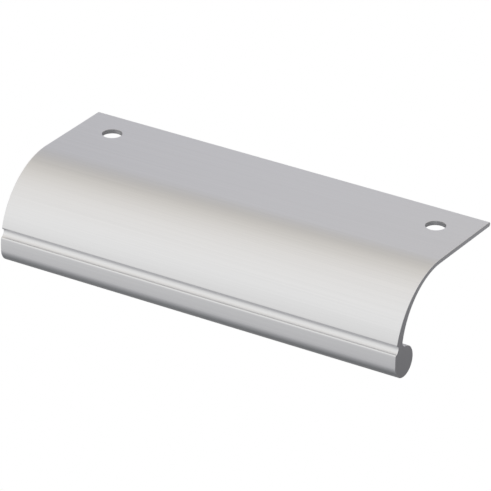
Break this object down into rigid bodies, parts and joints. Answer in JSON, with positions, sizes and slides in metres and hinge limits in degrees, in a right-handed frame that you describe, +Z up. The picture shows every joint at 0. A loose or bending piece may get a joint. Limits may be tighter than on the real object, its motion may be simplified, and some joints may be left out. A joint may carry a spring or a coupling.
{
  "type": "refrigerator door handle",
  "caption": "Edge pull for a refrigerator or cabinet door: a flat screwed flange, a curved arm and a round bead for the fingers, in one aluminium profile.",
  "frame": {"origin": "middle of the footprint, on the floor that the flange's back edge and the bead rest on", "axes": "+X along the profile, -Y towards the bead side, +Z up from the floor"},
  "size_m": [0.1164, 0.0496, 0.0165],
  "materials": {
    "satin_aluminium": "satin anodised, fine lines along the length, sawn ends"
  },
  "bodies": {
    "root": {"handle_profile": "satin_aluminium"}
  },
  "joints": []
}
